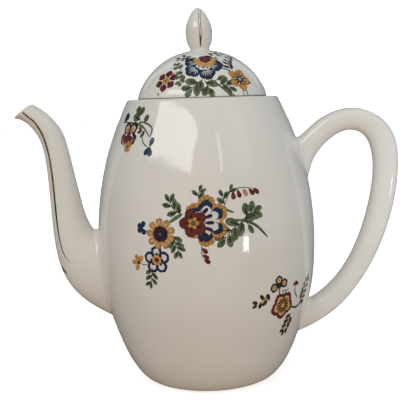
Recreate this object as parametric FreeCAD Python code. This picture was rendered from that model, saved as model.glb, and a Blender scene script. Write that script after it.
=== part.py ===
"""Porcelain coffee pot: barrel body with strainer wall, beaked spout, ear handle, domed lid and bud knob.

Millimetres. The origin is the centre of the foot ring on the table plane and +Z is up.
The spout points along -X, the handle along +X, and both lie in the plane Y = 0.
Every piece is one casting, written to parts/NODE.step.
"""

import FreeCAD
import Part
import math
import os

V = FreeCAD.Vector
AXIS_Y = V(0, 1, 0)
AXIS_Z = V(0, 0, 1)

# Body: a barrel turned about Z.
RIM_Z = 163.0
RIM_ARC = [(43.7, 161.7), (42.9, 162.7), (41.6, RIM_Z)]  # the rounded outer edge of the rim: radius, z
WALL = 3.6
HEEL_RADIUS = 14.0
HEEL_STOPS = [30, 60]  # degrees along the heel's arc, from the foot, that the profile passes through
FOOT_OUTER_R = 30.8
FOOT_WIDTH = 3.6
FOOT_HEIGHT = 2.4
FLOOR_TOP_Z = 6.4
FLOOR_BEND = (37.5, 12.3)  # radius, z inside the heel
WALL_POINTS = [  # radius, z
    (53.1, 28.0), (59.9, 50.0), (62.7, 75.0), (61.9, 100.0), (57.5, 125.0), (50.9, 145.0),
]

# Gallery: the stepped mouth that the lid sits in.
SEAT_DEPTH = 1.6
SEAT_R = 37.4
THROAT_R = 34.0
THROAT_LENGTH = 4.2
GALLERY_BLEND_Z = 150.5  # where the underside of the gallery meets the inner wall
GALLERY_BLEND_INSET = 2.6  # how far that is inward of the wall's last point
GALLERY_SAG = 0.9

# Lid: a dome with a deep flange.
LID_R = 36.8
LID_WALL = 3.1
LID_EDGE_ROUND = 0.6
DOME_POINTS = [  # radius, z
    (36.7, 165.0), (34.6, 169.9), (30.7, 175.8), (25.4, 181.2), (18.5, 185.9), (9.6, 189.1),
]
DOME_TOP_Z = 190.2
FLANGE_R = 33.2
FLANGE_WALL = 2.7
FLANGE_DEPTH = 13.0
FLANGE_BORE_RISE = 2.0  # above the seat, where the flange's bore meets the inside of the dome
VENT_R = 1.5
VENT_OFFSET = 15.0  # behind the knob, on +Y

# Knob: a bud, a little deeper front to back than it is wide, luted on with a slight lean.
KNOB_POINTS = [  # half width, z
    (5.6, 188.4), (5.2, 190.2), (6.1, 192.0), (7.2, 195.4),
    (7.65, 199.2), (7.1, 204.4), (5.3, 208.8), (2.9, 212.4),
]
KNOB_TOP_Z = 214.0
KNOB_DEPTH = 1.15  # depth along Y over width along X
KNOB_RIDGE = 1.8  # superellipse exponent: below 2 raises a soft ridge front, back and sides
KNOB_LEAN = 1.5  # degrees towards the spout
KNOB_SHIFT = -0.5
KNOB_SECTIONS = 16
KNOB_FLAT_SHARE = 0.985  # share of the profile's length at which the skin ends in a tiny flat top

# Spout sections: (outer x, outer z), (inner x, inner z), half width along Y, wall.
# x is measured towards the spout. Each section is an ellipse through both points.
SPOUT_SECTIONS = [
    ((46.0, 30.6), (46.0, 79.0), 14.5, 3.0),
    ((60.0, 38.9), (60.0, 83.8), 14.5, 3.0),
    ((72.6, 47.2), (64.4, 87.0), 13.8, 3.0),
    ((81.4, 57.2), (67.2, 90.4), 12.7, 3.0),
    ((86.2, 68.0), (69.1, 94.4), 11.4, 2.9),
    ((88.8, 82.0), (70.6, 98.8), 10.0, 2.9),
    ((90.1, 101.0), (72.4, 106.4), 8.6, 2.8),
    ((91.0, 119.0), (75.4, 120.8), 7.6, 2.7),
    ((92.4, 134.0), (78.7, 136.2), 7.0, 2.6),
    ((94.7, 142.2), (81.9, 146.6), 6.7, 2.5),
    ((98.9, 148.8), (88.2, 155.3), 6.4, 2.4),
    ((104.2, 153.2), (96.8, 161.8), 6.2, 2.2),
    ((109.8, 154.3), (106.2, 165.6), 6.0, 2.0),
]
# The mouth's edge seen from the side, from above the spout to below the beak: x towards the spout, z.
MOUTH_POINTS = [
    (93.6, 162.1), (97.2, 162.4), (99.6, 161.8), (101.6, 160.3), (104.0, 158.4),
    (106.6, 156.3), (108.2, 154.6), (108.3, 153.4), (106.4, 151.6),
]

# Strainer: a diamond of holes pierced through the wall behind the spout.
STRAINER_HOLE_R = 2.0
STRAINER_PITCH_Y = 6.6
STRAINER_PITCH_Z = 7.6
STRAINER_CENTRE_Z = 64.0
STRAINER_COLUMNS = [(-1, 3), (0, 4), (1, 3)]  # column number, holes in the column

# Handle sections: (outer x, outer z), (inner x, inner z), half width along Y.
HANDLE_SECTIONS = [
    ((44.0, 134.0), (49.0, 106.0), 6.4),
    ((54.4, 138.4), (60.4, 116.4), 6.4),
    ((57.6, 140.6), (62.8, 124.4), 6.3),
    ((62.4, 144.8), (69.4, 134.0), 6.3),
    ((73.2, 152.0), (77.8, 140.3), 6.3),
    ((85.4, 154.8), (84.6, 142.1), 6.4),
    ((98.0, 151.6), (91.8, 139.9), 6.6),
    ((107.8, 142.4), (96.1, 133.8), 6.8),
    ((112.2, 124.4), (98.0, 121.6), 6.9),
    ((110.6, 104.8), (96.8, 107.4), 6.8),
    ((105.8, 86.0), (92.8, 90.2), 6.7),
    ((98.0, 67.2), (86.4, 73.4), 6.5),
    ((86.0, 48.6), (75.9, 56.6), 6.4),
    ((74.4, 36.6), (66.4, 47.6), 6.4),
    ((61.0, 28.1), (58.6, 43.0), 6.6),
    ((46.0, 22.6), (47.0, 40.0), 6.8),
]
HANDLE_SQUARENESS = 2.5  # superellipse exponent: 2 is an ellipse, more is squarer
HANDLE_BIAS = 0.2  # share of the half height that the widest line sits outward of the middle
SECTION_POINTS = 24

# Luting: the pieces are stuck on with slip, which leaves a soft fillet in the corner.
SPOUT_LUTING_R = 2.2
HANDLE_LUTING_R = 1.6
KNOB_LUTING_R = 0.9

REACH = 400.0  # the size of cutting blocks that only have to be larger than the object


def spline(points):
    """A smooth curve through points in the XZ plane."""
    curve = Part.BSplineCurve()
    curve.interpolate([V(r, 0, z) for r, z in points])
    return curve


def crown(points):
    """A smooth curve through points whose last one lies on the axis, where the curve is level."""
    mirrored = [(-r, z) for r, z in reversed(points[:-1])]
    curve = spline(points + mirrored)
    curve.segment(curve.FirstParameter, (curve.FirstParameter + curve.LastParameter) / 2)
    return curve


def line(a, b):
    return Part.LineSegment(V(a[0], 0, a[1]), V(b[0], 0, b[1]))


def arc(a, middle, b):
    return Part.Arc(V(a[0], 0, a[1]), V(middle[0], 0, middle[1]), V(b[0], 0, b[1]))


def turned(curves):
    """The solid turned about Z from a closed chain of curves in the XZ plane."""
    wire = Part.Wire([curve.toShape() for curve in curves])
    shape = Part.Face(wire).revolve(V(0, 0, 0), AXIS_Z, 360)
    shape.rotate(V(0, 0, 0), AXIS_Z, 90)
    return shape


def inward(curve, points, distance):
    """The points, moved by distance from the curve's own line towards the axis."""
    moved = []
    for r, z in points:
        along = curve.tangent(curve.parameter(V(r, 0, z)))[0]
        moved.append((r - distance * along.z, z + distance * along.x))
    return moved


# The outside of the body as one curve, from the foot up the heel and the wall to the rim.
HEEL_POINTS = [
    (FOOT_OUTER_R + HEEL_RADIUS * math.sin(math.radians(t)), HEEL_RADIUS * (1 - math.cos(math.radians(t))))
    for t in [0] + HEEL_STOPS
]
OUTER_WALL = spline(HEEL_POINTS + WALL_POINTS + [RIM_ARC[0]])


def body_envelope():
    """The body's outside with nothing hollow, which trims what is luted to it."""
    return turned([
        line((0, 0), HEEL_POINTS[0]),
        OUTER_WALL,
        arc(*RIM_ARC),
        line(RIM_ARC[2], (0, RIM_Z)),
        line((0, RIM_Z), (0, 0)),
    ])


def strainer_holes():
    """Cylinders that pierce the wall behind the spout."""
    holes = []
    for column, count in STRAINER_COLUMNS:
        for row in range(count):
            z = STRAINER_CENTRE_Z + (row - (count - 1) / 2) * STRAINER_PITCH_Z
            start = V(-RIM_Z, column * STRAINER_PITCH_Y, z)
            holes.append(Part.makeCylinder(STRAINER_HOLE_R, RIM_Z - THROAT_R, start, V(1, 0, 0)))
    return holes


def pot_body():
    """The barrel: foot ring, heel, wall and the stepped mouth."""
    seat_z = RIM_Z - SEAT_DEPTH
    throat_z = seat_z - THROAT_LENGTH
    foot_inner = FOOT_OUTER_R - FOOT_WIDTH
    foot_corner = (foot_inner - FOOT_HEIGHT / 2, FOOT_HEIGHT)
    inside = inward(OUTER_WALL, WALL_POINTS, WALL)
    floor_corner = (FOOT_OUTER_R - WALL, FLOOR_TOP_Z)
    under_gallery = (inside[-1][0] - GALLERY_BLEND_INSET, GALLERY_BLEND_Z)
    inner_wall = spline([floor_corner, FLOOR_BEND] + inside + [under_gallery])
    gallery_bend = ((under_gallery[0] + THROAT_R) / 2, throat_z - GALLERY_SAG)
    gallery = arc(under_gallery, gallery_bend, (THROAT_R, throat_z))
    profile = [
        line((foot_inner, 0), HEEL_POINTS[0]),
        OUTER_WALL,
        arc(*RIM_ARC),
        line(RIM_ARC[2], (SEAT_R, RIM_Z)),
        line((SEAT_R, RIM_Z), (SEAT_R, seat_z)),
        line((SEAT_R, seat_z), (THROAT_R, seat_z)),
        line((THROAT_R, seat_z), (THROAT_R, throat_z)),
        gallery,
        inner_wall,
        line(floor_corner, (0, FLOOR_TOP_Z)),
        line((0, FLOOR_TOP_Z), (0, FOOT_HEIGHT)),
        line((0, FOOT_HEIGHT), foot_corner),
        line(foot_corner, (foot_inner, 0)),
    ]
    shell = turned(profile)
    for hole in strainer_holes():
        shell = shell.cut(hole)
    return shell


def lid():
    """The dome, its bottom edge and the flange that hangs in the throat."""
    seat_z = RIM_Z - SEAT_DEPTH
    base = (LID_R, seat_z + LID_EDGE_ROUND)
    outside = crown([base] + DOME_POINTS + [(0, DOME_TOP_Z)])
    flange_inner = FLANGE_R - FLANGE_WALL
    hollow_edge = (flange_inner, seat_z + FLANGE_BORE_RISE)
    inside = crown([hollow_edge] + inward(outside, DOME_POINTS[2:], LID_WALL) + [(0, DOME_TOP_Z - LID_WALL)])
    foot_z = seat_z - FLANGE_DEPTH
    turn = LID_EDGE_ROUND * (1 - math.sqrt(0.5))
    round_z = foot_z + FLANGE_WALL / 2
    profile = [
        outside,
        line((0, DOME_TOP_Z), (0, DOME_TOP_Z - LID_WALL)),
        inside,
        line(hollow_edge, (flange_inner, round_z)),
        arc((flange_inner, round_z), (FLANGE_R - FLANGE_WALL / 2, foot_z), (FLANGE_R, round_z)),
        line((FLANGE_R, round_z), (FLANGE_R, seat_z)),
        line((FLANGE_R, seat_z), (LID_R - LID_EDGE_ROUND, seat_z)),
        arc((LID_R - LID_EDGE_ROUND, seat_z), (LID_R - turn, seat_z + turn), base),
    ]
    vent = Part.makeCylinder(VENT_R, REACH, V(0, VENT_OFFSET, RIM_Z))
    return turned(profile).cut(vent)


def lid_knob(lid_shape):
    """The bud, luted to the dome that it stands on."""
    profile = crown(KNOB_POINTS + [(0, KNOB_TOP_Z)])
    sections = []
    for i in range(KNOB_SECTIONS):
        share = KNOB_FLAT_SHARE * math.sin(math.pi / 2 * i / (KNOB_SECTIONS - 1))
        at = profile.value(profile.FirstParameter + share * (profile.LastParameter - profile.FirstParameter))
        sections.append(section((at.x, at.z), (-at.x, at.z), at.x * KNOB_DEPTH, KNOB_RIDGE, 1))
    bud = skinned(sections)
    bud.rotate(V(0, 0, KNOB_POINTS[1][1]), AXIS_Y, -KNOB_LEAN)
    bud.translate(V(KNOB_SHIFT, 0, 0))
    return luted(bud, lid_shape, KNOB_LUTING_R)


def section(outer, inner, half_width, exponent, side, bias=0.0):
    """A closed curve through two points of the XZ plane, bulging by half_width along Y.

    A bias above 0 moves the widest line towards the outer point.
    """
    a = V(side * outer[0], 0, outer[1])
    b = V(side * inner[0], 0, inner[1])
    centre = (a + b) * 0.5
    reach = (a - b) * 0.5
    places = []
    for i in range(SECTION_POINTS):
        angle = 2 * math.pi * i / SECTION_POINTS
        c = math.copysign(abs(math.cos(angle)) ** (2 / exponent), math.cos(angle))
        s = math.copysign(abs(math.sin(angle)) ** (2 / exponent), math.sin(angle))
        places.append(centre + reach * (c + bias * (1 - c * c)) + AXIS_Y * (half_width * s))
    curve = Part.BSplineCurve()
    steps = [i / SECTION_POINTS for i in range(SECTION_POINTS + 1)]
    curve.interpolate(Points=places, Parameters=steps, PeriodicFlag=True)
    return curve


def skinned(sections):
    """The solid whose smooth skin passes through every section, closed by flat ends."""
    columns = list(zip(*[curve.getPoles() for curve in sections]))
    travel = [0.0]
    centres = [curve.value(0) * 0.5 + curve.value(0.5) * 0.5 for curve in sections]
    for a, b in zip(centres, centres[1:]):
        travel.append(travel[-1] + (b - a).Length)
    rails = []
    for column in columns:
        rail = Part.BSplineCurve()
        rail.interpolate(Points=list(column), Parameters=[t / travel[-1] for t in travel])
        rails.append(rail)
    first = sections[0]
    skin = Part.BSplineSurface()
    skin.buildFromPolesMultsKnots(
        [rail.getPoles() for rail in rails],
        first.getMultiplicities(), rails[0].getMultiplicities(), first.getKnots(), rails[0].getKnots(),
        True, False, first.Degree, rails[0].Degree)
    ends = [Part.Face(Part.Wire([curve.toShape()])) for curve in (sections[0], sections[-1])]
    shell = Part.makeShell([skin.toShape()] + ends)
    shell.sewShape()
    solid = Part.Solid(shell)
    if solid.Volume < 0:
        solid.reverse()
    return solid


def thinned(outer, inner, wall):
    """Both ends of a section, moved towards each other by the wall."""
    span = math.hypot(outer[0] - inner[0], outer[1] - inner[1])
    share = wall / span
    move = ((inner[0] - outer[0]) * share, (inner[1] - outer[1]) * share)
    return (outer[0] + move[0], outer[1] + move[1]), (inner[0] - move[0], inner[1] - move[1])


def largest(shape):
    """The largest solid of a shape that a cut left in pieces."""
    return max(shape.Solids, key=lambda solid: solid.Volume)


def luted(piece, base, radius):
    """The piece with a soft fillet where it meets the base, trimmed to the base's surface."""
    joined = base.fuse(piece)
    on_piece = [face for face in joined.Faces if is_skin(face)]
    seams = [edge for edge in joined.Edges
             if sum(edge.isSame(other) for face in on_piece for other in face.Edges) == 1
             and not is_flat(edge, joined)]
    return largest(joined.makeFillet(radius, seams).cut(base))


def is_skin(face):
    return isinstance(face.Surface, Part.BSplineSurface)


def is_flat(edge, shape):
    """Whether a plane ends at this edge, as at a piece's own end caps."""
    return any(isinstance(face.Surface, Part.Plane) for face in shape.ancestorsOfType(edge, Part.Face))


def mouth_cutter():
    """Everything beyond the spout's mouth, whose edge is rounded over its top and around its beak."""
    edge = [(-x, z) for x, z in MOUTH_POINTS]
    first, last = edge[0], edge[-1]
    profile = [
        spline(edge),
        line(last, (-REACH, last[1])),
        line((-REACH, last[1]), (-REACH, REACH)),
        line((-REACH, REACH), (first[0], REACH)),
        line((first[0], REACH), first),
    ]
    block = Part.Face(Part.Wire([curve.toShape() for curve in profile])).extrude(AXIS_Y * REACH)
    block.translate(AXIS_Y * (-REACH / 2))
    return block


def spout(envelope):
    """The S-shaped tube, open into the strainer wall and cut to a beak."""
    outside = skinned([section(o, i, b, 2.0, -1) for o, i, b, w in SPOUT_SECTIONS])
    hollow = []
    for o, i, b, w in SPOUT_SECTIONS:
        thin_o, thin_i = thinned(o, i, w)
        hollow.append(section(thin_o, thin_i, b - w, 2.0, -1))
    inside = skinned(hollow)
    return luted(outside, envelope, SPOUT_LUTING_R).cut(inside).cut(mouth_cutter())


def handle(envelope):
    """The ear, solid, with both roots trimmed to the body."""
    ear = skinned([section(o, i, b, HANDLE_SQUARENESS, 1, HANDLE_BIAS) for o, i, b in HANDLE_SECTIONS])
    return luted(ear, envelope, HANDLE_LUTING_R)


def main():
    os.makedirs("parts", exist_ok=True)
    envelope = body_envelope()
    lid_shape = lid()
    pieces = {
        "pot_body": pot_body(),
        "spout": spout(envelope),
        "handle": handle(envelope),
        "lid": lid_shape,
        "lid_knob": lid_knob(lid_shape),
    }
    for name, shape in pieces.items():
        volume = round(shape.Volume / 1000, 2)
        print(name, "valid", shape.isValid(), "solids", len(shape.Solids), "cm3", volume)
        shape.exportStep(f"parts/{name}.step")


main()
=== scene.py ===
"""The looks of the porcelain coffee pot: glaze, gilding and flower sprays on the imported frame.

The frame is in metres. The drawing is in millimetres, on two turned surfaces:
on the barrel a place (s, t) is s round from the front, towards the handle, at the height t;
on the dome of the lid t is the distance up the dome from its bottom edge.
Angles are in degrees, apart from those that go straight into a sine or cosine.
"""

import math
import random

import bmesh
import bpy
from mathutils import Matrix, Vector
from mathutils.bvhtree import BVHTree


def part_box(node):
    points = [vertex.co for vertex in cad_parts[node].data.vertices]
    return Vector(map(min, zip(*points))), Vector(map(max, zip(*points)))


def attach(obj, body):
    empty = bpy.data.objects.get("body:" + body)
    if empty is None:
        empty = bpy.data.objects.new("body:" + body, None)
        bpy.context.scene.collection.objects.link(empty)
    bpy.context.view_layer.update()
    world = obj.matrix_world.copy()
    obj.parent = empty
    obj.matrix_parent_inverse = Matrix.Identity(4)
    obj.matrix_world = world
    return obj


MM = 0.001

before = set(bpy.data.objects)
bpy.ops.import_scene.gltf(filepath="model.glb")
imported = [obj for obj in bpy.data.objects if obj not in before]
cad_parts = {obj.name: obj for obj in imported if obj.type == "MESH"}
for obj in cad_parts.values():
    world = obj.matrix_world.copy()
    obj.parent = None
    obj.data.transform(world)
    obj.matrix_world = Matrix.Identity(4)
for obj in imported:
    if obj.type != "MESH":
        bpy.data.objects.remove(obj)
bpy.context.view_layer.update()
random.seed(7)

# Enamel is built up in layers: each lies a little above the one below it, and its edge runs
# under the glaze. In millimetres.
FIRST_LAYER = 0.045
LAYER_STEP = 0.014
SUNK = 0.06
PATCH_SPACING = 1.7  # the most between the rings of a patch, so that it follows the curved wall
STROKE_SPACING = 1.2  # between the sections of a stroke
STEM_SPACING = 0.4  # between the places on a stem where something can grow

# How unsteady the brush is, as shares of the size of what it draws.
HAND = 0.035  # how far a point of an outline strays
BRUSH_WIDTHS = (0.93, 1.07)  # the narrowest and the widest that a stroke turns out

# Rays that look for a surface.
NEAR = 3  # how far off a turned surface they start, in millimetres
FAR = 0.1  # how far off a piece they start when it is only roughly known where it is, in metres


# ---------------------------------------------------------------- materials


def fill_ramp(ramp, stops):
    """Sets a colour ramp to the (position, colour) stops."""
    while len(ramp.elements) < len(stops):
        ramp.elements.new(0.5)
    for element, (position, colour) in zip(ramp.elements, stops):
        element.position = position
        element.color = (*colour, 1.0)


class Shader:
    """A node material around one Principled shader."""

    def __init__(self, name, **sockets):
        self.material = bpy.data.materials.new(name)
        self.material.use_nodes = True
        self.nodes = self.material.node_tree.nodes
        self.links = self.material.node_tree.links
        self.surface = self.nodes["Principled BSDF"]
        for socket, value in sockets.items():
            self.surface.inputs[socket.replace("_", " ")].default_value = value
        self.place = self.add("ShaderNodeTexCoord").outputs["Object"]

    def add(self, kind, **settings):
        node = self.nodes.new(kind)
        for key, value in settings.items():
            setattr(node, key, value)
        return node

    def noise(self, feature_mm, detail, roughness=0.5, distortion=0.0):
        """Soft noise between 0 and 1 whose features are about so many millimetres wide."""
        node = self.add("ShaderNodeTexNoise")
        self.links.new(self.place, node.inputs["Vector"])
        node.inputs["Scale"].default_value = 1 / (feature_mm * MM)
        node.inputs["Detail"].default_value = detail
        node.inputs["Roughness"].default_value = roughness
        node.inputs["Distortion"].default_value = distortion
        return node.outputs["Fac"]

    def ramp(self, value, *stops):
        """Colours at given values of the input, with smooth steps between them."""
        node = self.add("ShaderNodeValToRGB")
        node.color_ramp.interpolation = "EASE"
        fill_ramp(node.color_ramp, stops)
        self.links.new(value, node.inputs["Fac"])
        return node.outputs["Color"]

    def mix(self, share, below, above, blend="MIX"):
        """One colour over another. Each of the three is a number, a colour or a node's output."""
        node = self.add("ShaderNodeMix", data_type="RGBA", blend_type=blend)
        for socket, value in (("Factor", share), ("A", below), ("B", above)):
            target = next(i for i in node.inputs if i.name == socket and i.enabled)
            if isinstance(value, (int, float)):
                target.default_value = value
            elif isinstance(value, tuple):
                target.default_value = (*value, 1.0)
            else:
                self.links.new(value, target)
        return next(o for o in node.outputs if o.enabled)

    def scaled(self, value, low, high):
        """The input from 0 to 1, spread from low to high."""
        node = self.add("ShaderNodeMapRange")
        self.links.new(value, node.inputs["Value"])
        node.inputs["To Min"].default_value = low
        node.inputs["To Max"].default_value = high
        return node.outputs["Result"]

    def bump(self, *heights):
        """Relief from (height, depth in millimetres) pairs, the coarse one first."""
        normal = None
        for height, depth_mm in heights:
            node = self.add("ShaderNodeBump")
            node.inputs["Distance"].default_value = depth_mm * MM
            self.links.new(height, node.inputs["Height"])
            if normal:
                self.links.new(normal, node.inputs["Normal"])
            normal = node.outputs["Normal"]
        self.links.new(normal, self.surface.inputs["Normal"])

    def ripple(self):
        """The slow unevenness of the glaze, which the enamel lies on: height and depth for bump."""
        return self.noise(21, 1), 0.5

    def into(self, socket, value):
        self.links.new(value, self.surface.inputs[socket])


def porcelain():
    """Clear gloss glaze over warm white porcelain, a little rippled, with a rare iron speck."""
    s = Shader("porcelain_glaze", Roughness=0.06, IOR=1.52,
               Subsurface_Weight=0.06, Subsurface_Scale=0.0012)
    speck_spacing = 11  # in millimetres
    core, rim = 0.018, 0.026  # where a speck starts and stops fading, as shares of the spacing
    warm = s.ramp(s.noise(46, 2), (0.3, (0.80, 0.765, 0.705)), (0.7, (0.83, 0.80, 0.745)))
    cloud = s.mix(s.scaled(s.noise(9, 4), 0.0, 0.35), warm, (0.80, 0.775, 0.73))
    cells = s.add("ShaderNodeTexVoronoi")
    s.links.new(s.place, cells.inputs["Vector"])
    cells.inputs["Scale"].default_value = 1 / (speck_spacing * MM)
    speck = s.ramp(cells.outputs["Distance"],
                   (core, (1.0, 1.0, 1.0)), (rim, (0.0, 0.0, 0.0)))
    faint = s.mix(1.0, speck, (0.45, 0.45, 0.45), "MULTIPLY")
    s.into("Base Color", s.mix(faint, cloud, (0.40, 0.30, 0.20)))
    s.into("Roughness", s.scaled(s.noise(14, 5), 0.035, 0.095))
    s.bump(s.ripple(), (s.noise(7, 2), 0.02), (s.noise(0.9, 2), 0.0012))
    return s.material


def bisque():
    """The unglazed, wiped foot."""
    s = Shader("bisque_foot", Roughness=0.7, IOR=1.45)
    grain = s.noise(0.35, 6, 0.7)
    s.into("Base Color", s.ramp(grain, (0.3, (0.56, 0.50, 0.42)), (0.7, (0.74, 0.69, 0.61))))
    s.into("Roughness", s.scaled(grain, 0.6, 0.85))
    s.bump((grain, 0.03))
    return s.material


def enamel(name, dark, light, feature_mm=1.6):
    """Glossy overglaze paint, thicker and darker in places as a brush leaves it."""
    s = Shader(name, Roughness=0.12, IOR=1.33)
    s.into("Base Color", s.ramp(s.noise(feature_mm, 4, 0.6, 0.4), (0.32, dark), (0.68, light)))
    s.into("Roughness", s.scaled(s.noise(2.4, 4), 0.07, 0.2))
    s.bump(s.ripple(), (s.noise(0.5, 3), 0.006))
    return s.material


def gilding():
    """Burnished gold, brushed on along the line. Its colour is darkened to dark bronze as a painted
    reflection of a dark room, with brighter patches at random as painted glints.
    """
    s = Shader("gilding", Metallic=1.0, Roughness=0.2, IOR=1.45)
    painted_glint_mottle = s.noise(6.0, 5, 0.6)
    # Painted reflection: mostly dark bronze, as gold mirroring a dark room looks, with brighter
    # gold patches as painted glints.
    s.into("Base Color", s.ramp(painted_glint_mottle, (0.35, (0.085, 0.050, 0.026)), (0.62, (0.30, 0.18, 0.075))))
    s.into("Roughness", s.scaled(s.noise(0.6, 4), 0.13, 0.34))
    s.bump((s.noise(0.5, 3), 0.01))
    return s.material


ENAMELS = {  # the dark and the light colour, and the width of the brush marks if it isn't the usual
    "ochre": ((0.42, 0.185, 0.040), (0.60, 0.32, 0.085)),
    "cream": ((0.60, 0.40, 0.19), (0.72, 0.55, 0.32)),
    "red": ((0.085, 0.009, 0.005), (0.175, 0.024, 0.013)),
    "blue": ((0.003, 0.010, 0.030), (0.006, 0.034, 0.095)),
    "purple": ((0.012, 0.003, 0.012), (0.040, 0.012, 0.040)),
    "green": ((0.052, 0.072, 0.028), (0.155, 0.185, 0.092), 2.4),
    "dark_green": ((0.006, 0.011, 0.004), (0.034, 0.050, 0.018), 1.2),
    "pink": ((0.46, 0.14, 0.11), (0.60, 0.29, 0.24)),
    "white": ((0.62, 0.59, 0.57), (0.74, 0.72, 0.70)),
    "black": ((0.003, 0.003, 0.004), (0.012, 0.011, 0.012)),
}
PAINTS = {f"enamel_{name}": enamel(f"enamel_{name}", *look) for name, look in ENAMELS.items()}
GOLD = gilding()


# ---------------------------------------------------------------- surfaces to draw on


def skin_of(node):
    """The node's mesh, ready for rays."""
    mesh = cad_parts[node].data
    faces = [list(p.vertices) for p in mesh.polygons]
    return BVHTree.FromPolygons([v.co for v in mesh.vertices], faces)


def between(table, key, column):
    """The column's value where the table's first column reaches key."""
    last = len(table) - 1
    low = next((i for i in range(last) if table[i + 1][0] >= key), last - 1)
    a, b = table[low], table[low + 1]
    share = (key - a[0]) / (b[0] - a[0])
    return a[column] + (b[column] - a[column]) * share


class Turned:
    """A turned surface of a CAD node, with its outline read from the node's own mesh."""

    def __init__(self, node, outline):
        self.skin = skin_of(node)
        self.outline = outline(self.skin)  # rows of (t, radius, height), in millimetres

    def radius(self, t):
        return between(self.outline, t, 1)

    def point(self, angle, t, lift):
        """The place on the surface at an angle round the axis from the front, raised by lift."""
        radius, height = self.radius(t), between(self.outline, t, 2)
        step = 0.5  # to either side, for the slope
        run = between(self.outline, t + step, 1) - between(self.outline, t - step, 1)
        rise = between(self.outline, t + step, 2) - between(self.outline, t - step, 2)
        out = Vector((rise * math.sin(angle), -rise * math.cos(angle), -run)).normalized()
        foot = Vector((radius * math.sin(angle), -radius * math.cos(angle), height)) * MM
        start = foot + out * NEAR * MM
        found = self.skin.ray_cast(start, -out, 2 * NEAR * MM)[0]
        return (found or start - out * NEAR * MM) + out * lift * MM

    def spot(self, s=0.0, t=0.0, turn=0.0):
        """A small flat drawing sheet stuck on the surface at (s, t), turned by so many degrees."""
        angle = s / self.radius(t) if s else 0.0
        c, d = math.cos(math.radians(turn)), math.sin(math.radians(turn))

        def place(x, y, lift):
            across, up = c * x - d * y, t + d * x + c * y
            return self.point(angle + across / self.radius(up), up, lift)

        return place


def barrel_outline(skin):
    """Rows up the wall: t is the height itself."""
    rows = []
    for height in range(2, 162, 2):
        hit = skin.ray_cast(Vector((0, -2 * FAR, height * MM)), Vector((0, 1, 0)))[0]
        rows.append((height, -hit.y / MM, height))
    return rows


def dome_outline(skin):
    """Rows up the dome: t is the distance along it from its bottom edge."""
    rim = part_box("pot_body")[1].z
    rows, last = [], None
    walked = 1.0  # about how far up the dome the first ray meets it
    for step in range(89):
        angle = math.radians(step)
        out = Vector((0, -math.cos(angle), math.sin(angle)))
        hit = skin.ray_cast(Vector((0, 0, rim)) + out * FAR, -out)[0]
        if last:
            walked += (hit - last).length / MM
        last = hit
        rows.append((walked, -hit.y / MM, hit.z / MM))
    return rows


def side_of(node, side):
    """A drawing sheet of a node seen from one side: x along the row's X, y along its Z."""
    skin = skin_of(node)

    def place(x, z, lift):
        start = Vector((x * MM, side * FAR, z * MM))
        found, normal = skin.ray_cast(start, Vector((0, -side, 0)))[:2]
        if not found:  # just past the outline: the nearest skin is its ridge
            found, normal = skin.find_nearest(Vector((x * MM, side * MM, z * MM)))[:2]
        return found + normal * lift * MM

    return place


# ---------------------------------------------------------------- outlines, in millimetres


def circle(count):
    """So many angles at equal steps round a circle, in radians."""
    return [2 * math.pi * i / count for i in range(count)]


def uneven(points, size):
    """The points, each moved a little as an unsteady hand would."""
    reach = HAND * size
    return [(x + random.uniform(-reach, reach), y + random.uniform(-reach, reach))
            for x, y in points]


def placed(points, x, y, angle):
    """The points, turned by the angle and moved to (x, y)."""
    c, s = math.cos(math.radians(angle)), math.sin(math.radians(angle))
    return [(x + c * a - s * b, y + s * a + c * b) for a, b in points]


def drop(x, y, angle, length, width, waist=0.55):
    """A petal: pointed where it starts at (x, y), round at its far end."""
    belly, tip = 0.62, 0.05  # how wide it gets and how blunt it starts, as shares of its width
    points = []
    for turn in circle(18):
        along = (1 - math.cos(turn)) / 2
        points.append((length * along, belly * width * math.sin(turn) * (tip + along**waist)))
    return placed(uneven(points, width), x, y, angle)


def oval(x, y, angle, length, width, point=0.3):
    """A leaf blade centred on (x, y). The higher the point, the more pointed its two ends."""
    points = []
    for turn in circle(20):
        side = math.sin(turn)
        points.append((-length / 2 * math.cos(turn), width / 2 * side * abs(side) ** point))
    return placed(uneven(points, width), x, y, angle)


def scallop(x, y, angle, radius, lobes, depth, per_lobe=8):
    """A round patch whose edge is cut into lobes. The first lobe points along the angle.

    The depth of the cuts is a share of the radius.
    """
    sharpness = 0.7  # of the cuts: the lower, the narrower they are
    points = []
    for turn in circle(lobes * per_lobe):
        lobe = abs(math.cos(lobes * turn / 2)) ** sharpness
        reach = radius * (1 - depth + depth * lobe)
        points.append((reach * math.cos(turn), reach * math.sin(turn)))
    return placed(uneven(points, radius), x, y, angle)


def dot(x, y, radius):
    """A small round dab."""
    return scallop(x, y, 0, radius, 5, 0.08, per_lobe=2)


def smooth_path(points, spacing=STROKE_SPACING):
    """Points along a smooth line through the given ones."""
    if len(points) < 3:
        (ax, ay), (bx, by) = points
        count = max(3, round(math.hypot(bx - ax, by - ay) / spacing))
        return [(ax + (bx - ax) * i / count, ay + (by - ay) * i / count) for i in range(count + 1)]
    ends = [points[0]] + list(points) + [points[-1]]
    path = []
    for a, b, c, d in zip(ends, ends[1:], ends[2:], ends[3:]):
        count = max(2, round(math.dist(b, c) / spacing))
        for i in range(count):
            u = i / count
            path.append(tuple(
                0.5 * (2 * q + (r - p) * u + (2 * p - 5 * q + 4 * r - s) * u**2
                       + (3 * q - p - 3 * r + s) * u**3)
                for p, q, r, s in zip(a, b, c, d)))
    return path + [points[-1]]


# ---------------------------------------------------------------- painting


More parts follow.
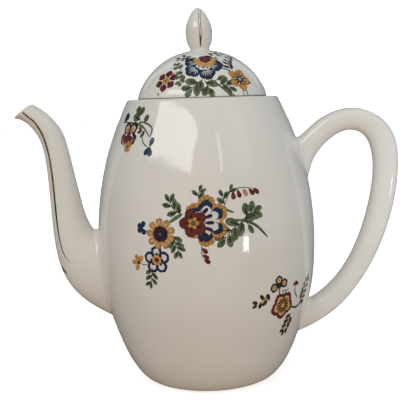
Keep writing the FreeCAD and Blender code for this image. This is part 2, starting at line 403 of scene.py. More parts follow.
class Coat:
    """All patches of one colour on one piece of the pot, as one mesh of thin closed shells."""

    def __init__(self):
        self.points = []
        self.faces = []
        self.smooth = []

    def ring(self, places):
        """Adds the places to the mesh, and says where they are in it."""
        start = len(self.points)
        self.points.extend(places)
        return list(range(start, len(self.points)))

    def band(self, lower, upper, smooth):
        """Faces between two rings."""
        for i in range(len(lower)):
            j = (i + 1) % len(lower)
            self.faces.append((lower[i], lower[j], upper[j], upper[i]))
            self.smooth.append(smooth)

    def fan(self, centre, ring, smooth, flip=False):
        """Faces that fill a ring."""
        for i in range(len(ring)):
            j = (i + 1) % len(ring)
            self.faces.append((centre, ring[j], ring[i]) if flip else (centre, ring[i], ring[j]))
            self.smooth.append(smooth)

    def patch(self, sheet, outline, layer):
        """A filled outline, which must see its own middle from every point."""
        top = FIRST_LAYER + layer * LAYER_STEP
        brink = 0.985  # where the top ends and the edge starts to fall, as a share of the way out
        mx = sum(x for x, _ in outline) / len(outline)
        my = sum(y for _, y in outline) / len(outline)
        reach = max(math.hypot(x - mx, y - my) for x, y in outline)
        rings = max(1, math.ceil(reach / PATCH_SPACING))
        middle = self.ring([sheet(mx, my, top)])[0]
        inner = None
        for k in range(1, rings + 1):
            share = k / rings if k < rings else brink
            ring = self.ring([
                sheet(mx + (x - mx) * share, my + (y - my) * share, top) for x, y in outline])
            if inner:
                self.band(inner, ring, True)
            else:
                self.fan(middle, ring, True)
            inner = ring
        edge = self.ring([sheet(x, y, -SUNK) for x, y in outline])
        self.band(inner, edge, False)
        self.fan(self.ring([sheet(mx, my, -SUNK)])[0], edge, False, flip=True)

    def stroke(self, sheet, points, width, layer, taper, spacing=STROKE_SPACING):
        """A brush line through the points. The taper is its width at its two ends, as shares."""
        path = smooth_path(points, spacing)
        top = FIRST_LAYER + layer * LAYER_STEP
        brink = 0.94  # where the top ends, as a share of the way from the line's middle to its side
        swelling = 0.6  # the lower, the sooner the line has its full width
        sections = []
        for i, (x, y) in enumerate(path):
            (ax, ay), (bx, by) = path[max(i - 1, 0)], path[min(i + 1, len(path) - 1)]
            length = math.hypot(bx - ax, by - ay) or 1.0
            nx, ny = -(by - ay) / length, (bx - ax) / length
            along = i / (len(path) - 1)
            swell = math.sin(math.pi * along) ** swelling
            end = taper[0] if along < 0.5 else taper[1]
            half = width / 2 * (end + (1 - end) * swell) * random.uniform(*BRUSH_WIDTHS)
            sections.append(self.ring([
                sheet(x + nx * half, y + ny * half, -SUNK),
                sheet(x + nx * half * brink, y + ny * half * brink, top),
                sheet(x - nx * half * brink, y - ny * half * brink, top),
                sheet(x - nx * half, y - ny * half, -SUNK)]))
        for a, b in zip(sections, sections[1:]):
            for k in range(4):
                self.faces.append((a[k], a[(k + 1) % 4], b[(k + 1) % 4], b[k]))
                self.smooth.append(k == 1)
        self.faces.append(tuple(reversed(sections[0])))
        self.faces.append(tuple(sections[-1]))
        self.smooth.extend((False, False))

    def hoop(self, surface, low, high):
        """A closed line all the way round a turned surface, from one t to another."""
        corners = ((low, -SUNK), (low, FIRST_LAYER), (high, FIRST_LAYER), (high, -SUNK))
        rings = [self.ring([surface.point(a, t, lift) for a in circle(240)]) for t, lift in corners]
        for k in range(4):
            self.band(rings[k], rings[(k + 1) % 4], k == 1)

    def finish(self, name, body, material, slot):
        """Makes the coat a piece that rides on the body."""
        mesh = bpy.data.meshes.new(name)
        mesh.from_pydata([tuple(p) for p in self.points], [], self.faces)
        mesh.polygons.foreach_set("use_smooth", self.smooth)
        mesh.validate()
        mesh.materials.append(material)
        piece = bpy.data.objects.new(name, mesh)
        bpy.context.scene.collection.objects.link(piece)
        make_outward(mesh)
        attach(piece, body)


def make_outward(mesh):
    """Turns the faces of every closed shell outward, and keeps its top smooth up to a hard edge."""
    work = bmesh.new()
    work.from_mesh(mesh)
    bmesh.ops.recalc_face_normals(work, faces=work.faces)
    for edge in work.edges:
        edge.smooth = all(face.smooth for face in edge.link_faces)
    work.to_mesh(mesh)
    work.free()


class Painter:
    """Paints one surface of one body, with a coat of enamel for each colour."""

    def __init__(self, surface, body):
        self.surface = surface
        self.body = body
        self.coats = {}

    def coat(self, colour):
        return self.coats.setdefault("enamel_" + colour, Coat())

    def patch(self, colour, sheet, outline, layer=0):
        """Fills an outline that is drawn on the sheet."""
        self.coat(colour).patch(sheet, outline, layer)

    def stroke(self, colour, points, width, layer=0, sheet=None, taper=(0.25, 0.25)):
        """A brush line on the sheet, or on the surface itself."""
        self.coat(colour).stroke(sheet or self.surface.spot(), points, width, layer, taper)

    def leaf(self, s, t, angle, length, width, colour, vein, point=0.3):
        """A leaf blade. If it has a vein, that is a dark brush mark growing from its stalk."""
        small = 2.6  # a leaf narrower than this has a mark in black
        sheet = self.surface.spot(s, t, angle)
        self.patch(colour, sheet, oval(0, 0, 0, length, width, point))
        if vein:
            mark = [(-0.62 * length, 0), (-0.15 * length, 0.04 * width), (0.16 * length, 0)]
            shade = "black" if width < small else "dark_green"
            self.stroke(shade, mark, vein * width, 1, sheet, (0.5, 0.1))

    def sprig(self, points, count, length, width, colour="green", stem="dark_green",
              vein=0.34, point=0.3):
        """A stem with leaves on its two sides in turn, the smallest at its tip."""
        spread = 48  # how far the leaves turn away from the stem
        self.stroke(stem, points, 0.5)
        path = smooth_path(points, STEM_SPACING)
        last = len(path) - 1
        for i in range(count):
            k = round(last * (1 - i / count))
            (ax, ay), (bx, by) = path[max(k - 2, 0)], path[min(k + 2, last)]
            turn = math.degrees(math.atan2(by - ay, bx - ax)) + (spread * (-1) ** i if i else 0)
            size = 0.85 + 0.3 * i / count
            reach = 0.62 if i else 0.4  # from the stem to the leaf's middle, as a share of length
            x, y = on_circle(length * reach, turn)
            self.leaf(path[k][0] + x, path[k][1] + y, turn, length * size, width * size,
                      colour, vein, point)

    def bells(self, points, colours, length, width, hang):
        """Small bell flowers that hang at equal steps from the far part of a stem."""
        self.stroke("dark_green", points, 0.5)
        path = smooth_path(points, STEM_SPACING)
        for i, colour in enumerate(colours):
            x, y = path[round((len(path) - 1) * (0.3 + 0.7 * (i + 1) / len(colours)))]
            sheet = self.surface.spot(x, y, hang + 12 * i)
            self.patch(colour, sheet, drop(0.4, 0, 0, length, width, 0.5), 2)

    def finish(self):
        """Makes each colour a piece of its own."""
        for slot, coat in sorted(self.coats.items()):
            coat.finish(f"{self.body}_{slot}", self.body, PAINTS[slot], slot)


# ---------------------------------------------------------------- flowers


def around(count, first):
    """So many angles at equal steps all the way round."""
    return [first + 360 * i / count for i in range(count)]


def on_circle(radius, angle):
    """The place on a circle round (0, 0)."""
    return radius * math.cos(math.radians(angle)), radius * math.sin(math.radians(angle))


def petals(p, colour, sheet, angles, out, radius, layer, lobes=5, cut=0.12, tall=1.0):
    """Equal petals with notched edges, set around a flower's middle."""
    for angle in angles:
        x, y = on_circle(out, angle)
        p.patch(colour, sheet, scallop(x, tall * y, angle, radius, lobes, cut), layer)


def rays(p, colour, sheet, angles, start, length, width, layer, centre=(0.0, 0.0)):
    """Drop-shaped rays that point away from the centre."""
    for angle in angles:
        x, y = on_circle(start, angle)
        p.patch(colour, sheet, drop(centre[0] + x, centre[1] + y, angle, length, width, 0.5), layer)


def ticks(p, colour, sheet, turns, sides, out, start, reach, layer, tall, tail):
    """Thin marks that fan out over each petal, from its middle at the distance out."""
    for turn in turns:
        x, y = on_circle(out, turn)
        for side in sides:
            a, b = on_circle(start, turn + side), on_circle(random.uniform(*reach), turn + side)
            mark = [(x + a[0], tall * y + a[1]), (x + b[0], tall * y + b[1])]
            p.stroke(colour, mark, 0.4, layer, sheet, (1.0, tail))


def show_flower(p, s, t):
    """The large ochre flower with blue hearts in its petals, and a red one over its left side."""
    sheet = p.surface.spot(s, t)
    turns = around(6, 28)
    tall = 1.2  # its height as a share of its width
    coats = [  # colour, distance out, radius, layer, notches
        ("red", 7.1, 4.9, 0, 7), ("ochre", 7.1, 4.7, 1, 7), ("black", 6.3, 3.3, 3, 5),
        ("blue", 6.2, 3.1, 4, 5), ("white", 4.6, 2.3, 5, 5)]
    for colour, out, radius, layer, notches in coats:
        petals(p, colour, sheet, turns, out, radius, layer, notches, 0.12, tall)
    p.patch("white", sheet, scallop(0, 0, 0, 6.6, 9, 0.05), 2)
    ticks(p, "black", sheet, turns, (-45, -15, 15, 45), 6.6, 2.9, (3.9, 4.4), 5, tall, 0.2)
    red = (-6.8, -1.0)  # the middle of the red flower, from that of the large one
    rays(p, "purple", sheet, range(-66, 67, 22), 5.6, 5.2, 2.0, 6, red)
    red_flower(p, s + red[0], t + red[1])


def red_flower(p, s, t):
    """Five red petals around a small ochre flower. It lies over the layers of the large flower."""
    sheet = p.surface.spot(s, t)
    turns = around(5, 108)
    petals(p, "purple", sheet, turns, 4.3, 3.3, 7, 3, 0.08)
    petals(p, "red", sheet, turns, 4.3, 3.05, 8, 3, 0.08)
    p.patch("red", sheet, scallop(0, 0, 0, 3.6, 5, 0.1), 9)
    petals(p, "black", sheet, turns, 3.6, 0.75, 10)
    rays(p, "ochre", sheet, around(5, 72), 0.0, 3.1, 2.0, 11)
    p.patch("black", sheet, scallop(0, 0, 0, 1.35, 5, 0.25), 12)
    p.patch("green", sheet, dot(0, 0, 0.85), 13)


def daisy(p, s, t):
    """Nine loose ochre petals around an aubergine star."""
    sheet = p.surface.spot(s, t)
    turns = around(9, 97)
    rays(p, "red", sheet, turns, 2.7, 5.6, 3.9, 0)
    rays(p, "ochre", sheet, turns, 2.5, 5.5, 3.7, 1)
    for angle in turns:
        p.patch("cream", sheet, oval(*on_circle(6.0, angle), angle, 1.6, 0.6), 2)
    rays(p, "purple", sheet, turns, 0.0, 4.5, 1.9, 3)
    rays(p, "black", sheet, around(9, 117), 2.7, 1.8, 0.8, 2)
    p.patch("purple", sheet, scallop(0, 0, 10, 3.0, 9, 0.2), 4)
    p.patch("green", sheet, dot(0, 0, 0.75), 5)


def rosette(p, s, t):
    """Five white petals edged in blue around an ochre eye."""
    sheet = p.surface.spot(s, t)
    radius = 7.5
    petals(p, "blue", sheet, around(5, 92), radius * 0.55, radius * 0.46, 0, 7, 0.08)
    petals(p, "white", sheet, around(5, 92), radius * 0.57, radius * 0.25, 1, 7, 0.1)
    p.patch("blue", sheet, scallop(0, 0, 20, radius * 0.44, 7, 0.25), 2)
    p.patch("ochre", sheet, scallop(0, 0, 20, radius * 0.39, 7, 0.2), 3)
    petals(p, "black", sheet, around(8, 45), radius * 0.43, 0.68, 4)
    petals(p, "cream", sheet, around(8, 22), radius * 0.28, 0.4, 4)
    p.patch("red", sheet, scallop(0, 0, 0, radius * 0.18, 5, 0.3), 5)
    p.patch("black", sheet, dot(0, 0, 0.35), 6)


def bud(p, colour, s, t, angles, length, width, eye=None):
    """A small half-open flower: a few petals that grow from one point."""
    sheet = p.surface.spot(s, t)
    rays(p, colour, sheet, angles, 0.0, length, width, 2)
    if eye:
        p.patch(eye, sheet, scallop(0, 0, 0, 1.1, 5, 0.3), 4)


def centre_spray(p):
    """The main bunch, on the front of the barrel."""
    p.stroke("green", [(-19.8, 99.4), (-16.6, 101.6), (-12.4, 104.0)], 2.1)
    p.stroke("green", [(8.6, 106.2), (14.4, 103.8)], 1.4)
    p.stroke("green", [(11.2, 100.4), (16.0, 99.8), (21.0, 99.0), (27.4, 95.6), (33.2, 89.6)], 1.7)
    p.stroke("dark_green", [(19.4, 99.6), (23.6, 98.2), (28.6, 94.0), (32.8, 89.8)], 0.5, 2)
    p.stroke("dark_green", [(-36.3, 96.2), (-33.4, 94.8), (-31.4, 93.6)], 0.5, 2)
    p.stroke("dark_green", [(-38.2, 77.8), (-35.6, 76.6), (-32.8, 77.4)], 0.5, 2)
    sprigs = [  # stem, leaves, length, width
        ([(-12.6, 103.6), (-16.6, 106.0), (-19.4, 110.4)], 6, 5.2, 2.9),
        ([(-3.6, 110.6), (-3.9, 113.4), (-3.2, 115.8)], 4, 3.9, 2.1),
        ([(-18.0, 93.0), (-16.4, 87.8), (-15.0, 84.4)], 7, 4.7, 2.6),
        ([(-30.2, 75.6), (-30.9, 70.4), (-31.3, 67.4)], 6, 4.3, 2.2),
        ([(9.6, 107.0), (9.2, 110.4), (8.4, 112.6)], 3, 4.2, 2.7),
        ([(11.6, 113.4), (12.6, 115.6)], 2, 4.0, 2.1)]
    for stem, count, length, width in sprigs:
        p.sprig(stem, count, length, width)
    broad = [  # the same
        ([(19.4, 99.6), (21.6, 102.2), (25.6, 104.0)], 6, 6.0, 3.9),
        ([(20.0, 99.4), (14.2, 96.0), (9.0, 90.4)], 7, 6.6, 4.2),
        ([(20.8, 99.2), (22.2, 96.8)], 1, 6.0, 3.4)]
    for stem, count, length, width in broad:
        p.sprig(stem, count, length, width, vein=0.24, point=0.05)
    p.bells([(9.8, 108.0), (12.4, 114.2), (17.4, 116.2), (24.8, 116.0)],
            ("red", "red", "pink", "red", "red"), 4.6, 2.5, -88)
    p.bells([(-2.0, 94.0), (-3.0, 86.0), (-2.6, 80.4)], ("red", "red", "red"), 4.0, 2.4, -50)
    bud(p, "blue", -35.6, 96.2, (80, 150, 215, 290), 3.7, 2.9)
    bud(p, "ochre", -38.9, 77.6, (112, 55, 180, -110), 4.6, 2.7, "dark_green")
    daisy(p, -24.9, 93.5)
    rosette(p, -27.5, 79.7)
    show_flower(p, -0.1, 100.2)


def pansy(p, s, t):
    """Four aubergine-edged petals over a lip with red stripes."""
    sheet = p.surface.spot(s, t)
    for x, y, radius in ((3.9, -2.0, 3.4), (-3.9, -2.0, 3.4), (3.0, 3.7, 3.3), (-3.0, 3.7, 3.3)):
        p.patch("purple", sheet, scallop(x, y, 90, radius, 5, 0.12))
        p.patch("cream", sheet, scallop(0.92 * x, y - 0.4, 90, 0.6 * radius, 5, 0.2), 1)
        p.patch("ochre", sheet, scallop(0.8 * x, y - 0.8, 90, 0.36 * radius, 3, 0.2), 2)
    p.patch("white", sheet, scallop(0, -3.0, 90, 4.8, 9, 0.06), 3)
    for angle in range(-164, -15, 13):
        stripe = [on_circle(0.6, angle), on_circle(random.uniform(5.8, 7.0), angle)]
        p.stroke("red", stripe, 0.95, 4, sheet, (0.3, 0.9))
    p.patch("red", sheet, scallop(0, 0.2, 90, 1.9, 5, 0.25), 5)


def shoulder_spray(p):
    """The small bunch under the rim, towards the spout."""
    p.stroke("green", [(-52.2, 150.8), (-46.0, 150.6), (-40.2, 150.2), (-35.0, 148.4),
                       (-30.4, 143.2)], 1.3)
    p.stroke("green", [(-40.2, 150.0), (-34.6, 151.0), (-29.0, 148.0), (-30.4, 143.2)], 1.2)
    p.stroke("green", [(-35.6, 143.4), (-34.8, 140.2), (-31.4, 137.8)], 0.8)
    p.sprig([(-37.4, 150.8), (-39.0, 155.4)], 3, 5.4, 4.4, vein=0.25, point=0.05)
    p.sprig([(-34.0, 149.6), (-33.4, 151.4)], 1, 4.6, 4.0, vein=0.25, point=0.05)
    p.sprig([(-33.2, 146.4), (-36.6, 146.0)], 3, 3.6, 2.2, vein=0.25, point=0.1)
    bud(p, "blue", -54.4, 150.2, (52, 72), 6.2, 3.4)
    bud(p, "blue", -30.4, 138.2, (74, -78, -122), 5.0, 2.8)
    pansy(p, -46.9, 144.2)
    sheet = p.surface.spot(-47.2, 138.0)
    rays(p, "ochre", sheet, around(5, 90), 0.0, 3.1, 2.4, 6)
    p.patch("green", sheet, scallop(0, 0, 0, 1.1, 5, 0.3), 7)


def foot_spray(p):
    """The bunch low on the barrel, towards the handle."""
    sheet = p.surface.spot(43.4, 50.6)
    turns = around(5, 54)
    coats = (("red", 4.6, 4.0, 0), ("cream", 3.9, 2.5, 1), ("ochre", 3.1, 2.2, 2))
    for colour, out, radius, layer in coats:
        petals(p, colour, sheet, turns, out, radius, layer, 5, 0.12, 0.86)
    p.patch("ochre", sheet, scallop(0, 0, 0, 3.0, 7, 0.2), 2)
    rays(p, "black", sheet, around(15, 8), 1.0, 3.4, 0.9, 3)
    p.patch("cream", sheet, dot(0, 0, 0.9), 4)
    p.stroke("green", [(40.6, 62.2), (40.8, 56.2)], 1.0)
    p.stroke("dark_green", [(54.2, 59.4), (53.6, 56.4), (56.4, 52.6)], 0.9)
    p.stroke("dark_green", [(50.0, 48.6), (55.6, 47.0), (61.0, 48.6)], 1.3)
    for x in (43.2, 45.2, 47.2):
        p.stroke("black", [(44.4, 56.0), (x, 59.0)], 0.3, 4)
        p.patch("black", p.surface.spot(x, 59.0), dot(0, 0, 0.5), 5)
    sprigs = [  # stem, leaves, length, width
        ([(35.4, 55.0), (30.0, 55.6), (26.0, 53.6)], 6, 3.8, 2.3),
        ([(51.4, 44.4), (48.8, 40.0), (45.6, 34.6)], 8, 4.0, 2.6),
        ([(59.0, 48.0), (62.8, 52.4), (66.0, 57.0), (69.0, 61.0)], 10, 4.2, 2.3)]
    for stem, count, length, width in sprigs:
        p.sprig(stem, count, length, width, "dark_green", "ochre", vein=0)
    for s, t in ((31.4, 56.6), (48.0, 42.0), (60.4, 53.6)):
        p.leaf(s, t, 60, 3.0, 1.8, "ochre", 0)
    rays(p, "red", p.surface.spot(54.4, 60.0), (40, 90, 140), 0.0, 2.8, 2.0, 4)
    sheet = p.surface.spot(40.8, 62.0)
    for colour, radius, layer in (("purple", 2.7, 0), ("cream", 1.5, 1), ("ochre", 1.0, 2)):
        petals(p, colour, sheet, (98, 22, 188), 3.7, radius, layer, 5, 0.14, 0.9)
    p.patch("black", sheet, scallop(0, 0, 0, 1.6, 4, 0.25), 4)
    p.patch("dark_green", sheet, drop(0, -2.0, 90, 2.6, 1.8), 5)


def lid_spray(p):
    """The bunch on the front of the dome."""
    p.stroke("green", [(5.0, 11.8), (9.4, 7.6), (13.6, 4.0), (18.6, 1.4)], 1.2)
    p.stroke("green", [(9.6, 19.6), (14.2, 18.4), (18.6, 15.0)], 1.1)
    p.stroke("green", [(24.4, 7.0), (26.4, 4.0), (27.4, 1.4)], 0.9)
    p.stroke("purple", [(23.4, 5.8), (24.6, 1.6)], 0.55)
    p.stroke("black", [(-19.2, 15.0), (-15.4, 16.8), (-10.4, 18.6)], 0.3)
    p.stroke("black", [(-26.6, 4.8), (-26.0, 2.6)], 0.9)
    broad = [  # stem, leaves, length, width
        ([(1.0, 11.8), (-2.6, 9.6), (-6.0, 5.6)], 5, 6.2, 4.2),
        ([(1.0, 11.8), (3.0, 8.0), (4.0, 5.8)], 3, 6.0, 4.1),
        ([(8.4, 8.6), (12.0, 8.2), (15.6, 6.4)], 5, 5.4, 3.3),
        ([(6.4, 10.4), (8.4, 11.4)], 1, 6.4, 3.7),
        ([(26.4, 7.6), (28.6, 8.6)], 1, 3.0, 2.2)]
    for stem, count, length, width in broad:
        p.sprig(stem, count, length, width, vein=0.3, point=0.1)
    small = [  # stem, leaves, length, width, colour
        ([(-10.8, 18.6), (-13.0, 20.8), (-14.6, 22.6)], 4, 3.4, 2.5, "green"),
        ([(-10.2, 18.0), (-11.8, 14.0), (-12.2, 10.4)], 6, 3.5, 2.4, "green"),
        ([(-5.0, 31.6), (-9.0, 31.0), (-12.6, 28.6)], 5, 3.6, 1.7, "purple"),
        ([(2.6, 36.0), (7.0, 34.4), (11.0, 33.6)], 4, 3.6, 1.7, "dark_green"),
        ([(16.6, 17.6), (15.6, 22.6), (17.4, 28.6)], 10, 3.9, 1.8, "purple")]
    for stem, count, length, width, colour in small:
        shade = "purple" if colour == "purple" else "dark_green"
        p.sprig(stem, count, length, width, colour, shade, vein=0)
    brick_petals(p, -21.0, 11.8)
    notched_flower(p, 22.3, 11.3)
    crown_flower(p, 0.7, 21.6)


def brick_petals(p, s, t):
    """Six separate brick red petals around an ochre eye."""
    sheet = p.surface.spot(s, t)
    turns = around(6, 27)
    petals(p, "red", sheet, turns, 4.6, 2.3, 0, 4, 0.16)
    rays(p, "purple", sheet, turns, 2.0, 2.6, 1.1, 1)
    rays(p, "ochre", sheet, around(6, 57), 0.0, 2.7, 1.6, 2)
    for angle in turns:
        p.stroke("dark_green", [(0, 0), on_circle(1.5, angle)], 0.35, 3, sheet)


def notched_flower(p, s, t):
    """Five ochre petals with cut ends around a navy eye."""
    sheet = p.surface.spot(s, t)
    turns = around(5, 60)
    petals(p, "black", sheet, turns, 4.5, 2.85, 0, 4, 0.16)
    petals(p, "ochre", sheet, turns, 4.5, 2.7, 1, 4, 0.16)
    rays(p, "black", sheet, around(10, 42), 1.5, 2.8, 0.8, 2)
    p.patch("black", sheet, scallop(0, 0, 0, 2.2, 6, 0.25), 3)
    p.patch("blue", sheet, scallop(0, 0, 0, 1.8, 6, 0.2), 4)
    p.patch("white", sheet, scallop(0, 0, 20, 0.9, 5, 0.3), 5)
    p.patch("red", sheet, dot(0, 0, 0.4), 6)


def crown_flower(p, s, t):
    """The navy flower with an ochre fan and a small red flower at its top."""
    sheet = p.surface.spot(s, t)
    turns = around(5, -72)
    tall = 0.84  # its height as a share of its width
    petals(p, "black", sheet, turns, 6.9, 4.7, 0, 5, 0.13, tall)
    petals(p, "blue", sheet, turns, 6.9, 4.4, 1, 5, 0.13, tall)
    ticks(p, "white", sheet, turns, range(-60, 61, 20), 4.2, 1.0, (3.4, 5.0), 2, tall, 0.3)
    p.patch("white", sheet, scallop(0.8, 1.6, 90, 5.2, 9, 0.12), 3)
    heart = (1.4, 5.2)  # where the fan grows from
    fan = range(-190, 11, 20)
    rays(p, "ochre", sheet, fan, 0.8, 5.9, 1.8, 4, heart)
    for angle in fan:
        x, y = on_circle(4.0, angle)
        p.patch("cream", sheet, oval(heart[0] + x, heart[1] + y, angle, 2.6, 0.5), 5)
        x, y = on_circle(6.7, angle + 10)
        p.patch("black", sheet, dot(heart[0] + x, heart[1] + y, 0.62), 4)
    top = p.surface.spot(s + heart[0], t + heart[1] + 0.4)
    petals(p, "red", top, around(5, 54), 1.5, 1.7, 6, 3, 0.15)
    p.patch("dark_green", top, scallop(0, 0, 0, 1.1, 5, 0.3), 7)
    p.patch("green", top, dot(0, 0, 0.6), 8)


# ---------------------------------------------------------------- gold lines and foot


# x and z of the gold lines: down the sides of the spout from the mouth to the root, the short
# one below that, and down the front and back of the knob.
SPOUT_LINE = [
    (-102.6, 158.0), (-99.2, 154.9), (-95.9, 151.8), (-91.9, 144.6), (-89.3, 135.0),
    (-87.9, 125.0), (-87.0, 113.0), (-86.3, 99.5), (-85.3, 88.0), (-83.6, 79.0),
    (-81.4, 74.0), (-78.4, 70.8)]
SPOUT_TICK = [(-85.2, 68.4), (-83.4, 65.9), (-81.6, 64.2)]
KNOB_STRIPE = [
    (-0.1, 213.2), (-0.2, 209.0), (-0.1, 204.0), (0.0, 199.0), (0.0, 195.0), (0.0, 191.6)]
LID_LINE = (1.25, 1.6)  # its two edges, as distances up the dome


def gild(dome):
    """The lines of gold: spout sides, knob front and back, and the bottom edge of the lid."""
    spout, knob, edge = Coat(), Coat(), Coat()
    for side in (-1, 1):
        sheet = side_of("spout", side)
        spout.stroke(sheet, SPOUT_LINE, 1.2, 0, (0.8, 0.1), 1.0)
        spout.stroke(sheet, SPOUT_TICK, 1.3, 0, (0.9, 0.1), 0.8)
        knob.stroke(side_of("lid_knob", side), KNOB_STRIPE, 1.45, 0, (1.0, 0.2), 0.7)
    edge.hoop(dome, *LID_LINE)
    spout.finish("spout_gold_lines", "pot", GOLD, "gilding")
    knob.finish("knob_gold_stripes", "lid", GOLD, "gilding")
    edge.finish("lid_gold_line", "lid", GOLD, "gilding")


def bare_foot():
    """The wiped, unglazed foot ring: a closed skin round the ring's resting face."""
    foot = Coat()
    outer, low = 30.8, 0.02  # the outer radius of the resting face, and how high its skin lies
    rows = [  # radius, height
        (outer + 0.6, 0.9), (outer + 0.2, 0.3), (outer - 0.5, low), (outer - 3.1, low),
        (outer - 3.9, 0.5), (outer - 3.3, 0.6), (outer - 0.4, 0.6)]
    rings = []
    for radius, height in rows:
        rings.append(foot.ring([
            Vector((radius * math.sin(a), -radius * math.cos(a), height)) * MM
            for a in circle(180)]))
    for k in range(len(rings)):
        foot.band(rings[k], rings[(k + 1) % len(rings)], True)
    foot.finish("foot_ring_bisque", "pot", bisque(), "bisque")


# ---------------------------------------------------------------- stage, light and camera


POT_MIDDLE = (0, 0, 0.1)
STAGE_RADIUS = 6.0
FLOOR_DROP = 0.0002  # just clear of the foot, so that the two faces don't coincide
FLOOR_GLOW = 0.665  # as bright as the surround, with the contact shadow still showing

# The light of the room, as colours at shares of the way from one side to the other. The three
# are multiplied. Up: a warm bounce below, neutral above.
ROOM_UP = [
    (0.0, (0.43, 0.285, 0.185)), (0.40, (0.50, 0.395, 0.315)), (0.50, (0.60, 0.59, 0.57)),
    (0.65, (0.60, 0.585, 0.555)), (1.0, (0.63, 0.625, 0.615))]
# Away from the camera: dim and cool behind the pot.
ROOM_AWAY = [
    (0.0, (1.08, 1.08, 1.08)), (0.42, (1.0, 1.01, 1.02)), (0.56, (0.48, 0.52, 0.55)),
    (1.0, (0.16, 0.19, 0.21))]
# From the spout's side to the handle's: cool at both ends, dimmer at the spout's.
ROOM_ACROSS = [
    (0.0, (0.74, 0.82, 0.92)), (0.35, (1.02, 1.03, 1.04)), (0.6, (0.97, 0.98, 0.99)),
    (1.0, (0.92, 1.04, 1.18))]

LIGHTS = [  # name, azimuth, elevation, distance, width, height, power, colour, aim
    ("window_left", -42, 36, 1.6, 1.5, 0.62, 4.6, (1.0, 0.985, 0.96), POT_MIDDLE),
    ("window_glint", -43, 37, 1.6, 1.45, 0.58, 7.0, (1.0, 0.99, 0.98), POT_MIDDLE),
    ("window_right", 50, 33, 1.7, 0.5, 0.75, 0.45, (1.0, 0.98, 0.95), POT_MIDDLE),
    ("window_far", 19, 31, 1.6, 0.10, 0.46, 0.36, (1.0, 0.99, 0.97), POT_MIDDLE),
    ("back_left", -145, 34, 1.6, 0.4, 0.9, 0.7, (0.90, 0.96, 1.0), POT_MIDDLE),
    ("back_right", 148, 34, 1.6, 0.4, 0.9, 0.7, (0.90, 0.96, 1.0), POT_MIDDLE),
    ("back_fill", 180, 25, 1.6, 1.4, 1.2, 5.0, (1.0, 0.98, 0.95), POT_MIDDLE),
    ("ceiling", 10, 80, 1.6, 1.6, 1.6, 1.7, (1.0, 0.97, 0.92), POT_MIDDLE),
    ("lamp", 38.0, -6.5, 0.55, 0.040, 0.045, 0.08, (1.0, 0.99, 0.97), POT_MIDDLE),
    ("handle_fill", 28, -8, 0.17, 0.06, 0.18, 0.014, (0.66, 0.86, 1.0), (0.1, 0, 0.09))]

# The eye is level with the rim, half a metre in front of the pot, looking slightly down.
EYE = (-0.0031, -0.5, 0.163)
LOOK_DOWN = 6.75
ROLL = -1.8
LENS_MM = 77.58
SENSOR_MM = 36.0


def soft_box(name, azimuth, elevation, distance, width, height, power, colour, aim):
    """A rectangular light. Azimuth 0 is the camera's side and 90 the handle's."""
    a, e = math.radians(azimuth), math.radians(elevation)
    out = Vector((math.sin(a) * math.cos(e), -math.cos(a) * math.cos(e), math.sin(e)))
    data = bpy.data.lights.new(name, "AREA")
    data.shape = "RECTANGLE"
    data.size, data.size_y = width, height
    data.energy = power
    data.color = colour
    lamp = bpy.data.objects.new(name, data)
    lamp.location = Vector(aim) + out * distance
    lamp.rotation_euler = out.to_track_quat("Z", "Y").to_euler()
    bpy.context.scene.collection.objects.link(lamp)
    return lamp


def stage_material(name, colour, glow):
    """A matt, faintly mottled material that also glows."""
    s = Shader(name, Roughness=0.9)
    mottle = tuple(0.985 * c for c in colour)
    s.into("Base Color", s.ramp(s.noise(60, 3), (0.3, mottle), (0.7, colour)))
    s.surface.inputs["Emission Color"].default_value = (*colour, 1.0)
    s.surface.inputs["Emission Strength"].default_value = glow
    s.surface.inputs["Specular IOR Level"].default_value = 0.0
    return s.material


def build_stage():
    """A pale floor in a white surround. Both are only seen directly, and light nothing."""
    bpy.ops.mesh.primitive_circle_add(vertices=96, radius=STAGE_RADIUS, fill_type="NGON")
    floor = bpy.context.object
    floor.name = "floor"
    floor.data.materials.append(stage_material("pale_floor", (0.93, 0.925, 0.92), FLOOR_GLOW))
    bpy.ops.mesh.primitive_uv_sphere_add(segments=48, ring_count=24, radius=STAGE_RADIUS)
    surround = bpy.context.object
    surround.name = "surround"
    surround.data.materials.append(stage_material("white_surround", (1.0, 1.0, 1.0), 1.0))
    for piece in (floor, surround):
        piece.visible_diffuse = False
        piece.visible_glossy = False
        piece.visible_transmission = False
    surround.visible_shadow = False
    floor.location.z = -FLOOR_DROP


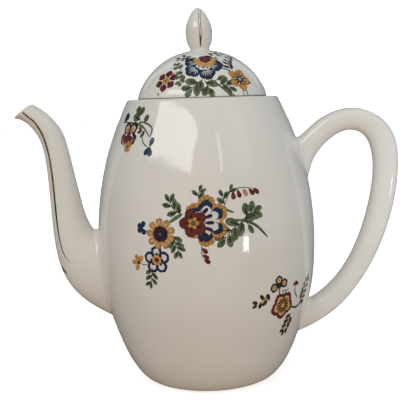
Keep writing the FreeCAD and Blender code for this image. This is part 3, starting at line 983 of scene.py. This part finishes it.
def build_room():
    """The world that the glaze mirrors, without edges: three gradients, multiplied."""
    world = bpy.data.worlds.new("studio")
    bpy.context.scene.world = world
    world.use_nodes = True
    nodes, links = world.node_tree.nodes, world.node_tree.links
    place = nodes.new("ShaderNodeTexCoord")
    split = nodes.new("ShaderNodeSeparateXYZ")
    links.new(place.outputs["Generated"], split.inputs[0])

    def gradient(axis, stops):
        spread = nodes.new("ShaderNodeMapRange")
        spread.inputs["From Min"].default_value = -1.0
        ramp = nodes.new("ShaderNodeValToRGB")
        fill_ramp(ramp.color_ramp, stops)
        links.new(split.outputs[axis], spread.inputs["Value"])
        links.new(spread.outputs["Result"], ramp.inputs["Fac"])
        return ramp.outputs["Color"]

    colour, *shares = [
        gradient("Z", ROOM_UP), gradient("Y", ROOM_AWAY), gradient("X", ROOM_ACROSS)]
    for share in shares:
        product = nodes.new("ShaderNodeVectorMath")
        product.operation = "MULTIPLY"
        links.new(colour, product.inputs[0])
        links.new(share, product.inputs[1])
        colour = product.outputs[0]
    links.new(colour, nodes["Background"].inputs["Color"])


def build_light():
    """Plain soft studio light around the room's own.

    In front, a large window to the left, its glint in the glaze, a smaller window to the right
    and a narrow one between them. Behind, two soft boxes and a fill that the glaze doesn't
    mirror. Then a ceiling, a small lamp low on the right and a faint cool fill by the handle.
    """
    build_room()
    lamps = {light[0]: soft_box(*light) for light in LIGHTS}
    lamps["window_glint"].visible_diffuse = False
    lamps["back_fill"].visible_glossy = False
    handle_fill = lamps["handle_fill"]
    handle_fill.data.spread = math.radians(60)
    handle_fill.visible_glossy = False
    handle_fill.visible_camera = False
    bpy.context.scene.view_settings.view_transform = "Standard"


def build_camera():
    """The photograph's point of view."""
    data = bpy.data.cameras.new("camera")
    data.sensor_width = SENSOR_MM
    data.lens = LENS_MM
    data.clip_start = 0.01
    camera = bpy.data.objects.new("camera", data)
    tilt = Matrix.Rotation(math.radians(90 - LOOK_DOWN), 4, "X")
    roll = Matrix.Rotation(math.radians(ROLL), 4, "Z")
    camera.matrix_world = Matrix.Translation(EYE) @ (tilt @ roll)
    bpy.context.scene.collection.objects.link(camera)
    bpy.context.scene.camera = camera


# ---------------------------------------------------------------- the scene


barrel = Turned("pot_body", barrel_outline)
dome = Turned("lid", dome_outline)

glaze = porcelain()
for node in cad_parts.values():
    node.data.materials.clear()
    node.data.materials.append(glaze)

pot_painter = Painter(barrel, "pot")
centre_spray(pot_painter)
shoulder_spray(pot_painter)
foot_spray(pot_painter)
pot_painter.finish()

lid_painter = Painter(dome, "lid")
lid_spray(lid_painter)
lid_painter.finish()

gild(dome)
bare_foot()

build_stage()
build_light()
build_camera()
